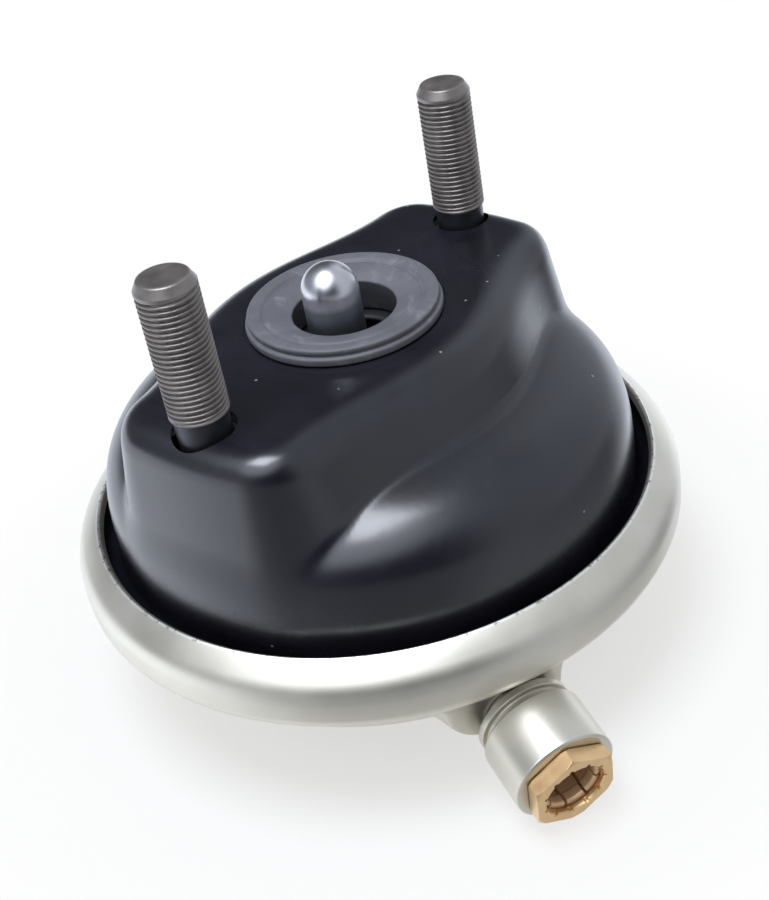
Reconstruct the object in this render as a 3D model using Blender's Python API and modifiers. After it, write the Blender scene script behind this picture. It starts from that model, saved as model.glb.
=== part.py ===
# Diaphragm brake cylinder for a disc brake: an air chamber with two mounting studs and a push rod.
#
# Frame: origin at the centre of the flat mounting face, +Z out of it along the studs and the push rod.
# The studs lie on the X axis. Every length below is in millimetres and MM turns it into metres.

import math

import bmesh
import bpy
import numpy as np
from mathutils import Matrix, Vector

MM = 0.001
GAP = 0.3  # left between pieces that touch
ROUND_SEGMENTS = 44

# Mounting face and studs
STUD_PITCH = 120.65
STUD_RADIUS = 7.95
STUD_SHANK_RADIUS = 7.25
STUD_TOP_Z = 44.7
STUD_CHAMFER = 1.6
STUD_THREAD_END_Z = 5.5
STUD_HEAD_RADIUS = 8.7
STUD_HEAD_HEIGHT = 6.4
STUD_HOLE_RADIUS = 8.7

# Drawn housing
SHEET = 3.0
ROD_HOLE_RADIUS = 23.0
BOWL_RADIUS = 78.5
BOWL_TOP_Z = -54.0
DOME_RISE = 37.5
DOME_POWER = 3.6
BOSS_DISC_RADIUS = 39.2
BOSS_BAR_HALF_LENGTH = 71.0
BOSS_BAR_HALF_WIDTH = 30.0
BOSS_BAR_CORNER = 12.0
BOSS_BAR_BULGE_RADIUS = 120.0
BOSS_OUTLINE_BLEND = 30.0
BOSS_EDGE_BLEND = 8.0
BOSS_WALL_BLEND = 3.0
FLANK_RUN_SIDE = 0.42
FLANK_RUN_CORNER = 0.25
FLANK_RUN_END = 0.14
VALLEY_BLEND_SIDE = 4.0
VALLEY_BLEND_END = 2.0
HOUSING_ROWS = 17
FLANGE_RADIUS = 88.0
FLANGE_TOP_Z = -62.0
FLANGE_BEND = 4.0
RING_SEAT_RADIUS = 29.1
RING_SEAT_DEPTH = 0.4

# Rolled cover
COVER_SHEET = 2.6
LIP_TOP = (84.2, -52.0)
RIM_RADIUS = 92.2
RIM_Z = -66.0
LIP_BEND = 12.0
RIM_BEND = 6.0
DISH = [
    (85.4, -74.4),
    (83.4, -77.2),
    (78.0, -84.0),
    (71.5, -90.3),
    (62.0, -97.0),
    (52.0, -101.2),
    (44.0, -102.0),
    (0.0, -102.0),
]

# Moving pieces: the rod stands off the middle by ROD_X
ROD_X = -4.3
ROD_RADIUS = 8.07
ROD_TIP_Z = 18.0
PLATE_Z = -96.2
PLATE_SHEET = 3.0
DIAPHRAGM_SHEET = 2.2

# Inner stack below the mounting face, from the top down
STUD_PLATE_THICKNESS = 6.0
STUD_PLATE_INSET = 8.4
COLLAR_THICKNESS = 2.0
CLAMP_RING_THICKNESS = 1.5
SEAT_SHEET = 1.6

# Rod gaiter
GAITER_FOLDS = 5
GAITER_INNER_RADIUS = 13.8
GAITER_OUTER_RADIUS = 21.6
GAITER_SHEET = 1.5
CUFF_TOP_Z = -71.0
CUFF_BOTTOM_Z = -80.0

# Return spring
SPRING_WIRE_RADIUS = 2.0
SPRING_TOP_RADIUS = 28.0
SPRING_BOTTOM_RADIUS = 40.0
SPRING_TURNS = 5.5
SPRING_POINTS_PER_TURN = 12

# Air port: its axis leaves the cover at this bearing, tilted down, through a point on the cover's side
PORT_BEARING = -119.0
PORT_TILT = 9.5
PORT_REFERENCE_RADIUS = 80.0
PORT_REFERENCE_Z = -89.6
PORT_RADIUS = 14.94
PORT_FRONT = 25.1
PAD_LEFT = -23.3
PAD_RIGHT = 17.3
PAD_BOTTOM = -9.8
PAD_TOP = 13.5
PAD_CORNERS = (4.0, 19.0, 12.0, 4.0)
PAD_FRONT = -0.8
PAD_CHAMFER = 1.4
PAD_DEPTH = 30.0
HEX_CORNER_RADIUS = 13.2
HEX_FRONT = 30.0
HEX_TURN = 7.0
COLLET_FINGERS = 8
COLLET_SLOT = (30.0, 1.1, 12.0)
COLLET_TURN = 10.0

# Breather on the far side of the housing
BREATHER_BEARING = 90.0
BREATHER_Z = -46.0
BREATHER_SEAT_RADIUS = 79.0
BREATHER_HOLE_RADIUS = 4.6


def start_scene():
    for old in list(bpy.data.objects):
        bpy.data.objects.remove(old, do_unlink=True)
    for name in ("diaphragm_brake_cylinder", "cutters"):
        collection = bpy.data.collections.new(name)
        bpy.context.scene.collection.children.link(collection)
    bpy.data.collections["cutters"].hide_render = True


def make_material(name, colour, roughness, metallic):
    material = bpy.data.materials.new(name)
    material.use_nodes = True
    material.diffuse_color = (*colour, 1.0)
    shader = material.node_tree.nodes["Principled BSDF"]
    shader.inputs["Base Color"].default_value = (*colour, 1.0)
    shader.inputs["Roughness"].default_value = roughness
    shader.inputs["Metallic"].default_value = metallic
    return material


def add_object(name, data, material=None, parent=None, location=(0, 0, 0)):
    """Links a new object: with a material it is a piece, without one it is a cutter."""
    obj = bpy.data.objects.new(name, data)
    obj.location = Vector(location) * MM
    obj.parent = parent
    if material:
        data.materials.append(material)
        bpy.data.collections["diaphragm_brake_cylinder"].objects.link(obj)
    else:
        bpy.data.collections["cutters"].objects.link(obj)
        obj.hide_render = True
        obj.display_type = "WIRE"
    return obj


def add_empty(name, location, rotation=(0, 0, 0)):
    empty = bpy.data.objects.new(name, None)
    empty.location = Vector(location) * MM
    empty.rotation_euler = rotation
    bpy.data.collections["diaphragm_brake_cylinder"].objects.link(empty)
    return empty


def arc(centre, radius, start, end, steps):
    """Points on an arc in the (radius, height) plane, angles in degrees from the outward direction."""
    angles = np.radians(np.linspace(start, end, steps + 1))
    return [(centre[0] + radius * math.cos(a), centre[1] + radius * math.sin(a)) for a in angles]


def offset_profile(points, distance):
    """The profile moved to its inner side, with the corners kept sharp."""
    path = np.array(points, float)
    run = np.diff(path, axis=0)
    run /= np.linalg.norm(run, axis=1)[:, None]
    inward = np.column_stack([run[:, 1], -run[:, 0]])
    corner = np.vstack([inward[:1], inward[:-1] + inward[1:], inward[-1:]])
    corner /= np.linalg.norm(corner, axis=1)[:, None]
    first = np.vstack([inward[:1], inward])
    stretch = 1 / np.einsum("ij,ij->i", corner, first)
    moved = path + corner * (stretch * distance)[:, None]
    return [(max(float(r), 0.0), float(z)) for r, z in moved]


def turned(name, profile, material=None, closed=False, segments=ROUND_SEGMENTS, parent=None):
    """A solid or a shell of revolution about its own Z axis."""
    points = [(r * MM, 0.0, z * MM) for r, z in profile]
    edges = [(i, i + 1) for i in range(len(points) - 1)]
    if closed:
        edges.append((len(points) - 1, 0))
    mesh = bpy.data.meshes.new(name)
    mesh.from_pydata(points, edges, [])
    obj = add_object(name, mesh, material, parent)
    screw = obj.modifiers.new("turn", "SCREW")
    screw.steps = segments
    screw.render_steps = segments
    screw.use_merge_vertices = True
    screw.merge_threshold = 0.00001
    return obj


def thicken(obj, thickness):
    solidify = obj.modifiers.new("sheet", "SOLIDIFY")
    solidify.thickness = thickness * MM
    solidify.offset = -1.0
    solidify.use_even_offset = True


def combine(obj, operation, other):
    boolean = obj.modifiers.new(operation.lower() + " " + other.name, "BOOLEAN")
    boolean.operation = operation
    boolean.solver = "EXACT"
    boolean.object = other


def cylinder_cutter(name, radius, depth, location, segments=18, parent=None, rotation=(0, 0, 0)):
    """A closed cylinder along its own Z axis, centred on the location."""
    mesh = bpy.data.meshes.new(name)
    shape = bmesh.new()
    bmesh.ops.create_cone(
        shape,
        cap_ends=True,
        segments=segments,
        radius1=radius * MM,
        radius2=radius * MM,
        depth=depth * MM,
    )
    shape.to_mesh(mesh)
    shape.free()
    obj = add_object(name, mesh, None, parent, location)
    obj.rotation_euler = rotation
    return obj


def apply_shape(obj, smooth_angle=35.0):
    """Turns the object's modifiers into its mesh and shades its round faces smooth."""
    bpy.context.view_layer.update()
    graph = bpy.context.evaluated_depsgraph_get()
    mesh = bpy.data.meshes.new_from_object(obj.evaluated_get(graph))
    obj.modifiers.clear()
    obj.data = mesh
    mesh.shade_smooth()
    mesh.set_sharp_from_angle(angle=math.radians(smooth_angle))


def curve_to_mesh(obj):
    """Replaces a curve object by a mesh object of the same name, with its caps welded on."""
    bpy.context.view_layer.update()
    graph = bpy.context.evaluated_depsgraph_get()
    mesh = bpy.data.meshes.new_from_object(obj.evaluated_get(graph))
    shape = bmesh.new()
    shape.from_mesh(mesh)
    bmesh.ops.remove_doubles(shape, verts=shape.verts, dist=0.001 * MM)
    shape.to_mesh(mesh)
    shape.free()
    name = obj.name
    matrix = obj.matrix_world.copy()
    bpy.data.objects.remove(obj, do_unlink=True)
    solid = bpy.data.objects.new(name, mesh)
    solid.matrix_world = matrix
    bpy.data.collections["diaphragm_brake_cylinder"].objects.link(solid)
    return solid


def smooth_max(a, b, blend):
    """The larger of two distances, rounded over where they differ by less than the blend."""
    near = np.clip(blend - np.abs(a - b), 0, None) / blend
    return np.maximum(a, b) + near * near * blend / 4


def smooth_min(a, b, blend):
    return -smooth_max(-a, -b, blend)


def boss_outline(x, y):
    """Distance outside the mounting boss's outline: a disc flowing into a round-cornered bar."""
    along = np.abs(x) + y * y / (2 * BOSS_BAR_BULGE_RADIUS) - (BOSS_BAR_HALF_LENGTH - BOSS_BAR_CORNER)
    across = np.abs(y) - (BOSS_BAR_HALF_WIDTH - BOSS_BAR_CORNER)
    outside = np.hypot(np.maximum(along, 0), np.maximum(across, 0))
    bar = outside + np.minimum(np.maximum(along, across), 0) - BOSS_BAR_CORNER
    disc = np.hypot(x, y) - BOSS_DISC_RADIUS
    return smooth_min(disc, bar, BOSS_OUTLINE_BLEND)


def housing_field(x, y, z):
    """Negative inside the housing's outer surface: the sloping boss blended into the round dome."""
    endness = np.clip(np.abs(x) / 55.0, 0, 1)
    endness = endness * endness * (3 - 2 * endness)
    along = np.clip(
        np.abs(x) + y * y / (2 * BOSS_BAR_BULGE_RADIUS) - BOSS_BAR_HALF_LENGTH + BOSS_BAR_CORNER, 0, None
    )
    across = np.clip(np.abs(y) - BOSS_BAR_HALF_WIDTH + BOSS_BAR_CORNER, 0.01, None)
    facing = along**2 / (along**2 + across**2)
    run = FLANK_RUN_SIDE + (FLANK_RUN_CORNER - FLANK_RUN_SIDE) * endness
    run = run + (FLANK_RUN_END - run) * facing
    flank = (boss_outline(x, y) + z * run) / np.sqrt(1 + run * run)
    boss = smooth_max(z, flank, BOSS_EDGE_BLEND)
    radius = np.hypot(x, y)
    boss = smooth_max(boss, radius - BOWL_RADIUS, BOSS_WALL_BLEND)
    rise = np.clip(z - BOWL_TOP_Z, 0, None) / DOME_RISE
    dome = ((radius / BOWL_RADIUS) ** DOME_POWER + rise**DOME_POWER) ** (1 / DOME_POWER)
    dome = (dome - 1) * BOWL_RADIUS * 0.7
    blend = VALLEY_BLEND_SIDE + (VALLEY_BLEND_END - VALLEY_BLEND_SIDE) * endness
    return smooth_min(boss, dome, blend)


def housing_section(bearing, elevation):
    """Points of the housing's outer surface seen from inside the bowl, as radius and height."""
    core_z = -45.0
    out = np.cos(elevation)
    up = np.sin(elevation)
    near = np.zeros(np.broadcast(bearing, elevation).shape)
    far = near + 140.0
    for _ in range(40):
        middle = (near + far) / 2
        radius = middle * out
        inside = housing_field(radius * np.cos(bearing), radius * np.sin(bearing), core_z + middle * up) < 0
        near = np.where(inside, middle, near)
        far = np.where(inside, far, middle)
    return near * out, core_z + near * up


def housing_bearings():
    """Angles round the axis, closer together at the four corners of the boss."""
    fine = np.linspace(0, math.pi / 2, 400)
    density = 1 + 2.2 * np.exp(-(((fine - math.radians(23)) / math.radians(11)) ** 2))
    total = np.concatenate([[0], np.cumsum((density[1:] + density[:-1]) / 2)])
    quarter = np.interp(np.linspace(0, total[-1], ROUND_SEGMENTS // 4 + 1), total, fine)
    half = np.concatenate([quarter[:-1], math.pi - quarter[:0:-1]])
    return np.concatenate([half, half + math.pi])


def build_housing(material):
    """The loft runs from the rod hole over the boss, down its flank and the dome to the flange."""
    bearings = housing_bearings()
    hole_elevation = math.atan2(45.0, ROD_HOLE_RADIUS)
    wall_elevation = math.atan2(-9.0, BOWL_RADIUS)
    elevations = np.linspace(hole_elevation, wall_elevation, 500)
    rings = []
    for bearing in bearings:
        radius, height = housing_section(bearing, elevations)
        step = np.hypot(np.diff(radius), np.diff(height))
        heading = np.unwrap(np.arctan2(np.diff(height), np.diff(radius)))
        turn = np.abs(np.diff(heading, prepend=heading[0]))
        measure = np.concatenate([[0], np.cumsum(step / step.sum() + turn / turn.sum())])
        rows = np.interp(np.linspace(0, measure[-1], HOUSING_ROWS), measure, elevations)
        radius, height = housing_section(bearing, rows)
        side = list(zip(radius, height))
        side += arc((BOWL_RADIUS + FLANGE_BEND, FLANGE_TOP_Z + FLANGE_BEND), FLANGE_BEND, 180, 270, 2)
        side.append((FLANGE_RADIUS, FLANGE_TOP_Z))
        rings.append([(r * math.cos(bearing) * MM, r * math.sin(bearing) * MM, z * MM) for r, z in side])
    rows = len(rings[0])
    count = len(rings)
    points = [point for ring in rings for point in ring]
    faces = []
    for i in range(count):
        here = i * rows
        there = (i + 1) % count * rows
        faces += [(here + j, here + j + 1, there + j + 1, there + j) for j in range(rows - 1)]
    mesh = bpy.data.meshes.new("housing")
    mesh.from_pydata(points, [], faces)
    housing = add_object("housing", mesh, material)
    thicken(housing, SHEET)
    for side in (-1, 1):
        hole = cylinder_cutter("stud_hole_cutter", STUD_HOLE_RADIUS, 30, (side * STUD_PITCH / 2, 0, 0))
        combine(housing, "DIFFERENCE", hole)
    seat = cylinder_cutter("ring_seat_cutter", RING_SEAT_RADIUS, 2 * RING_SEAT_DEPTH, (0, 0, 0), 32)
    combine(housing, "DIFFERENCE", seat)
    bearing = math.radians(BREATHER_BEARING)
    hole = cylinder_cutter(
        "breather_hole_cutter",
        BREATHER_HOLE_RADIUS,
        20,
        (BOWL_RADIUS * math.cos(bearing), BOWL_RADIUS * math.sin(bearing), BREATHER_Z),
        segments=16,
        rotation=(0, math.pi / 2, bearing),
    )
    combine(housing, "DIFFERENCE", hole)
    apply_shape(housing)


def pad_blank(port_axis):
    """A tab with round lower corners, as a closed prism behind the pad's front face."""
    top_left, low_left, low_right, top_right = PAD_CORNERS
    outline = [
        *arc((PAD_LEFT + top_left, PAD_TOP - top_left), top_left, 90, 180, 2),
        *arc((PAD_LEFT + low_left, PAD_BOTTOM + low_left), low_left, 180, 270, 5),
        *arc((PAD_RIGHT - low_right, PAD_BOTTOM + low_right), low_right, 270, 360, 4),
        *arc((PAD_RIGHT - top_right, PAD_TOP - top_right), top_right, 0, 90, 2),
    ]
    middle = ((PAD_LEFT + PAD_RIGHT) / 2, (PAD_BOTTOM + PAD_TOP) / 2)
    shrink = 1 - 2 * PAD_CHAMFER / (PAD_TOP - PAD_BOTTOM)
    points = []
    for scale, depth in ((shrink, 0.0), (1.0, PAD_CHAMFER), (1.0, PAD_DEPTH)):
        for x, y in outline:
            across = middle[0] + (x - middle[0]) * scale
            up = middle[1] + (y - middle[1]) * scale
            points.append((across * MM, up * MM, (PAD_FRONT - depth) * MM))
    count = len(outline)
    front = list(range(count))
    back = [2 * count + i for i in reversed(range(count))]
    walls = []
    for i in range(count):
        following = (i + 1) % count
        for ring in (0, count):
            walls.append((ring + i, ring + count + i, ring + count + following, ring + following))
    mesh = bpy.data.meshes.new("pad_blank")
    mesh.from_pydata(points, [], [front, back, *walls])
    return add_object("pad_blank", mesh, None, port_axis)


def build_cover(material, port_axis):
    """Rolled rim and dish in one sheet, with the pad for the air port drawn out of its side."""
    lip = arc((RIM_RADIUS - LIP_BEND, RIM_Z), LIP_BEND, 36, 0, 2)
    bead = arc((RIM_RADIUS - RIM_BEND, RIM_Z - 2), RIM_BEND, 0, -80, 3)
    cover = turned("cover", [LIP_TOP, *lip, *bead, *DISH], material)
    thicken(cover, COVER_SHEET)
    pad = pad_blank(port_axis)
    hollow = turned("dish_void_cutter", [(0, -60), (60, -60), *offset_profile(DISH[1:], 1.3)])
    combine(pad, "DIFFERENCE", hollow)
    combine(cover, "UNION", pad)
    bore_profile = [(0, 20), (10.0, 20), (10.0, -1.3), (5.5, -1.3), (5.5, -24), (0, -24)]
    bore = turned("port_bore_cutter", bore_profile, segments=18, parent=port_axis)
    combine(cover, "DIFFERENCE", bore)
    apply_shape(cover)


def build_diaphragm(material):
    """Thick bead clamped between the flange and the cover, and a thin dish lying on the cover."""
    under = offset_profile(DISH[1:], COVER_SHEET + 0.4)
    over = offset_profile(DISH[1:], COVER_SHEET + 0.4 + DIAPHRAGM_SHEET)
    bead_top = FLANGE_TOP_Z - SHEET - GAP
    bead = [
        (80.6, -69.5),
        (81.4, bead_top),
        (87.8, bead_top),
        (88.4, -66.2),
        (88.4, -68.6),
        (86.4, -71.0),
        (83.2, -71.0),
    ]
    diaphragm = turned("diaphragm", [*reversed(over), *bead, *under], material)
    apply_shape(diaphragm)


def build_rod_group(steel, plate_steel, band_steel):
    """Push rod, its plate and the band on its gaiter: these move together along Z."""
    rod_axis = add_empty("rod_axis", (ROD_X, 0, 0))
    tip = arc((0, ROD_TIP_Z - ROD_RADIUS), ROD_RADIUS, 90, 0, 5)
    foot_z = PLATE_Z + PLATE_SHEET + GAP
    foot = [(ROD_RADIUS, foot_z + 4), (12.0, foot_z + 2.2), (12.0, foot_z), (0, foot_z)]
    rod = turned("push_rod", [*tip, *foot], steel, segments=24, parent=rod_axis)
    apply_shape(rod)
    underside = [(57.0, -88.6), (55.2, -91.4), (44.0, PLATE_Z), (0, PLATE_Z)]
    plate = turned("piston_plate", underside, plate_steel, segments=32, parent=rod_axis)
    thicken(plate, PLATE_SHEET)
    apply_shape(plate)
    band_profile = [(12.3, -73.5), (12.3, -78.0), (11.3, -78.0), (11.3, -73.5)]
    band = turned("gaiter_band", band_profile, band_steel, True, 20, rod_axis)
    apply_shape(band)


def build_stud_plate(material):
    """Flat stiffener inside the boss, which the stud heads bear on."""
    points = []
    radii = np.linspace(10, 80, 1401)
    for bearing in np.linspace(0, 2 * math.pi, ROUND_SEGMENTS, endpoint=False):
        outside = boss_outline(radii * math.cos(bearing), radii * math.sin(bearing)) > -STUD_PLATE_INSET
        radius = radii[np.argmax(outside)]
        points.append((radius * math.cos(bearing), radius * math.sin(bearing)))
    curve = bpy.data.curves.new("stud_plate", "CURVE")
    curve.dimensions = "2D"
    curve.fill_mode = "BOTH"
    curve.extrude = STUD_PLATE_THICKNESS / 2 * MM
    spline = curve.splines.new("POLY")
    spline.points.add(len(points) - 1)
    for target, (x, y) in zip(spline.points, points):
        target.co = (x * MM, y * MM, 0, 1)
    spline.use_cyclic_u = True
    top = -SHEET - GAP
    plate = add_object("stud_plate", curve, material, None, (0, 0, top - STUD_PLATE_THICKNESS / 2))
    plate = curve_to_mesh(plate)
    rod_hole = cylinder_cutter("plate_rod_hole_cutter", ROD_HOLE_RADIUS, 30, (0, 0, top), 28)
    combine(plate, "DIFFERENCE", rod_hole)
    for side in (-1, 1):
        place = (side * STUD_PITCH / 2, 0, top)
        hole = cylinder_cutter("plate_stud_hole_cutter", STUD_SHANK_RADIUS + GAP, 30, place)
        combine(plate, "DIFFERENCE", hole)
    apply_shape(plate)
    return top - STUD_PLATE_THICKNESS


def build_studs(material, plate_bottom):
    head_top = plate_bottom - GAP
    head_bottom = head_top - STUD_HEAD_HEIGHT
    profile = [
        (0, STUD_TOP_Z),
        (STUD_RADIUS - 1.1, STUD_TOP_Z),
        (STUD_RADIUS, STUD_TOP_Z - STUD_CHAMFER),
        (STUD_RADIUS, STUD_THREAD_END_Z),
        (STUD_SHANK_RADIUS, STUD_THREAD_END_Z - 0.8),
        (STUD_SHANK_RADIUS, head_top),
        (STUD_HEAD_RADIUS, head_top),
        (STUD_HEAD_RADIUS, head_bottom + 1),
        (STUD_HEAD_RADIUS - 1, head_bottom),
        (0, head_bottom),
    ]
    for name, side in (("stud_left", -1), ("stud_right", 1)):
        stud = turned(name, profile, material, segments=18)
        stud.location.x = side * STUD_PITCH / 2 * MM
        apply_shape(stud)


def build_rod_opening(ring_rubber, gaiter_rubber, steel, plate_bottom):
    """Seal ring on the face, and below the stud plate the gaiter, its clamp ring and the spring seat."""
    neck = ROD_HOLE_RADIUS - 0.6
    foot_z = GAP - RING_SEAT_DEPTH
    ring_profile = [
        (26.5, 4.6),
        (27.4, 4.2),
        (27.4, 3.1),
        (26.8, 2.5),
        (28.2, 2.0),
        (28.2, foot_z),
        (neck, foot_z),
        (neck, plate_bottom + 0.2),
        (17.2, plate_bottom + 0.2),
        (15.6, -2.0),
        (14.8, 1.6),
        (18.0, 2.9),
        (22.4, 4.0),
        (23.0, 3.2),
        (23.6, 4.3),
    ]
    ring = turned("seal_ring", ring_profile, ring_rubber, True, 30)
    apply_shape(ring)

    collar_top = plate_bottom - GAP
    collar_bottom = collar_top - COLLAR_THICKNESS
    fold_pitch = (collar_bottom - CUFF_TOP_Z) / GAITER_FOLDS
    inner = []
    outer = []
    for i in range(GAITER_FOLDS):
        crest_z = collar_bottom - (i + 0.5) * fold_pitch
        root_z = collar_bottom - (i + 1) * fold_pitch
        outer += [(GAITER_OUTER_RADIUS, crest_z + 1.4), (GAITER_OUTER_RADIUS, crest_z - 1.4)]
        inner.append((GAITER_OUTER_RADIUS - GAITER_SHEET, crest_z))
        if i < GAITER_FOLDS - 1:
            outer.append((GAITER_INNER_RADIUS + 0.6, root_z))
            inner += [(GAITER_INNER_RADIUS - 1, root_z + 1.2), (GAITER_INNER_RADIUS - 1, root_z - 1.2)]
    cuff_inner = ROD_RADIUS + GAP
    profile = [
        (30.5, collar_top),
        (30.5, collar_bottom),
        (16.0, collar_bottom),
        *outer,
        (11.0, CUFF_TOP_Z),
        (11.0, CUFF_BOTTOM_Z),
        (cuff_inner, CUFF_BOTTOM_Z),
        (cuff_inner, CUFF_TOP_Z + 1.2),
        *reversed(inner),
        (13.4, collar_top - 1.0),
        (14.0, collar_top),
    ]
    gaiter = turned("rod_gaiter", profile, gaiter_rubber, True, 18)
    apply_shape(gaiter)
    # The gaiter's axis leans, so that its cuff meets the rod
    lean = Matrix.Identity(4)
    slope = ROD_X / (CUFF_TOP_Z - collar_bottom)
    for vertex in gaiter.data.vertices:
        depth = min(max(collar_bottom - vertex.co.z / MM, 0), collar_bottom - CUFF_TOP_Z)
        vertex.co.x -= slope * depth * MM

    clamp_top = collar_bottom - GAP
    clamp_bottom = clamp_top - CLAMP_RING_THICKNESS
    clamp_profile = [(30.5, clamp_top), (30.5, clamp_bottom), (24.0, clamp_bottom), (24.0, clamp_top)]
    clamp = turned("gaiter_clamp_ring", clamp_profile, steel, True, 24)
    apply_shape(clamp)

    seat_top = clamp_bottom - GAP
    seat_profile = [
        (33.0, seat_top),
        (33.0, seat_top - 5.0),
        (33.0 - SEAT_SHEET, seat_top - 5.0),
        (33.0 - SEAT_SHEET, seat_top - SEAT_SHEET),
        (24.0, seat_top - SEAT_SHEET),
        (24.0, seat_top),
    ]
    seat = turned("spring_seat", seat_profile, steel, True, 24)
    apply_shape(seat)
    return seat_top - SEAT_SHEET


def build_spring(material, seat_z):
    """Conical coil with a closed turn at each end, narrow at the seat and wide on the plate."""
    top = seat_z - GAP - SPRING_WIRE_RADIUS
    bottom = PLATE_Z + PLATE_SHEET + GAP + SPRING_WIRE_RADIUS
    closed_pitch = 2 * SPRING_WIRE_RADIUS + 0.6
    curve = bpy.data.curves.new("return_spring", "CURVE")
    curve.dimensions = "3D"
    curve.bevel_depth = SPRING_WIRE_RADIUS * MM
    curve.bevel_resolution = 2
    curve.use_fill_caps = True
    spline = curve.splines.new("POLY")
    count = round(SPRING_TURNS * SPRING_POINTS_PER_TURN) + 1
    spline.points.add(count - 1)
    stations = [0, 1, SPRING_TURNS - 1, SPRING_TURNS]
    heights = [top, top - closed_pitch, bottom + closed_pitch * 0.2, bottom]
    for i, target in enumerate(spline.points):
        turn = i / SPRING_POINTS_PER_TURN
        share = turn / SPRING_TURNS
        radius = SPRING_TOP_RADIUS + (SPRING_BOTTOM_RADIUS - SPRING_TOP_RADIUS) * share
        height = float(np.interp(turn, stations, heights))
        x = ROD_X * share + radius * math.cos(2 * math.pi * turn)
        y = radius * math.sin(2 * math.pi * turn)
        target.co = (x * MM, y * MM, height * MM, 1)
    spring = curve_to_mesh(add_object("return_spring", curve, material))
    apply_shape(spring, 60.0)


def build_port(port_axis, silver, brass, dark_brass, rubber, plastic):
    """Turned boss in the pad, and the push-in tube fitting inside it."""
    boss_profile = [
        (PORT_RADIUS - 0.5, PORT_FRONT),
        (PORT_RADIUS, PORT_FRONT - 0.5),
        (PORT_RADIUS, 8.0),
        (PORT_RADIUS - 0.6, 7.4),
        (12.4, 7.4),
        (12.4, 5.0),
        (13.8, 4.8),
        (13.8, 2.5),
        (9.7, 2.3),
        (9.7, -1.0),
        (6.0, -1.0),
        (6.0, 9.0),
        (8.4, 9.0),
        (8.4, 12.6),
        (10.8, 12.6),
        (10.8, PORT_FRONT),
    ]
    apply_shape(turned("port_boss", boss_profile, silver, True, 24, port_axis))
    thread_seal = [(11.0, 2.1), (11.3, 1.4), (11.0, 0.7), (10.2, 0.7), (9.95, 1.4), (10.2, 2.1)]
    apply_shape(turned("port_thread_seal", thread_seal, rubber, True, 18, port_axis))
    support = [(10.5, 14.9), (10.5, 12.9), (8.4, 12.9), (8.4, 14.9)]
    apply_shape(turned("port_support_ring", support, plastic, True, 18, port_axis))
    tube_seal = [(9.8, 17.8), (10.5, 16.5), (9.8, 15.2), (9.0, 15.2), (8.3, 16.5), (9.0, 17.8)]
    apply_shape(turned("port_tube_seal", tube_seal, rubber, True, 18, port_axis))

    sleeve = [(0, 26.0), (10.5, 26.0), (10.5, 18.4), (10.2, 18.1), (0, 18.1)]
    insert = turned("port_insert", sleeve, brass, segments=24, parent=port_axis)
    hex_height = HEX_FRONT - PORT_FRONT - GAP
    blank = cylinder_cutter(
        "hex_blank", HEX_CORNER_RADIUS, hex_height, (0, 0, HEX_FRONT - hex_height / 2), 6, port_axis
    )
    blank.rotation_euler = (0, 0, math.radians(HEX_TURN))
    chamfer = [(0, HEX_FRONT + 5), (6.0, HEX_FRONT + 5), (18.5, HEX_FRONT - 3.6), (18.5, 10), (0, 10)]
    combine(blank, "INTERSECT", turned("hex_chamfer", chamfer, segments=36, parent=port_axis))
    combine(insert, "UNION", blank)
    bore = [(0, 40), (8.8, 40), (8.8, 29.9), (8.5, 29.2), (8.5, 28.6), (9.6, 27.6), (9.6, 10), (0, 10)]
    combine(insert, "DIFFERENCE", turned("insert_bore_cutter", bore, segments=24, parent=port_axis))
    apply_shape(insert)

    collet_profile = [(9.3, 27.2), (9.3, 18.4), (8.35, 18.4), (8.2, 26.4), (8.2, 27.2)]
    collet = turned("port_collet", collet_profile, dark_brass, True, 24, port_axis)
    for i in range(COLLET_FINGERS // 2):
        mesh = bpy.data.meshes.new("collet_slot_cutter")
        shape = bmesh.new()
        bmesh.ops.create_cube(shape, size=1.0)
        bmesh.ops.scale(shape, vec=Vector(COLLET_SLOT) * MM, verts=shape.verts)
        shape.to_mesh(mesh)
        shape.free()
        slot = add_object("collet_slot_cutter", mesh, None, port_axis, (0, 0, 27.0))
        slot.rotation_euler = (0, 0, math.radians(COLLET_TURN + 360 / COLLET_FINGERS * i))
        combine(collet, "DIFFERENCE", slot)
    apply_shape(collet)


def build_breather(material):
    """Vented plug in the side of the housing that faces away from the air port."""
    bearing = math.radians(BREATHER_BEARING)
    outward = Vector((math.cos(bearing), math.sin(bearing), 0))
    place = outward * BREATHER_SEAT_RADIUS + Vector((0, 0, BREATHER_Z))
    axis = add_empty("breather_axis", place, (0, math.pi / 2, bearing))
    profile = [(4.8, 2.4), (6.4, 1.6), (6.4, 0), (4.2, 0), (4.2, -6.5), (1.5, -6.5), (1.5, 2.4)]
    apply_shape(turned("breather_plug", profile, material, True, 16, axis))


def port_placement():
    bearing = math.radians(PORT_BEARING)
    tilt = math.radians(PORT_TILT)
    place = (
        PORT_REFERENCE_RADIUS * math.cos(bearing),
        PORT_REFERENCE_RADIUS * math.sin(bearing),
        PORT_REFERENCE_Z,
    )
    outward = Vector((math.cos(bearing) * math.cos(tilt), math.sin(bearing) * math.cos(tilt), -math.sin(tilt)))
    return place, outward.to_track_quat("Z", "Y").to_euler()


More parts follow.
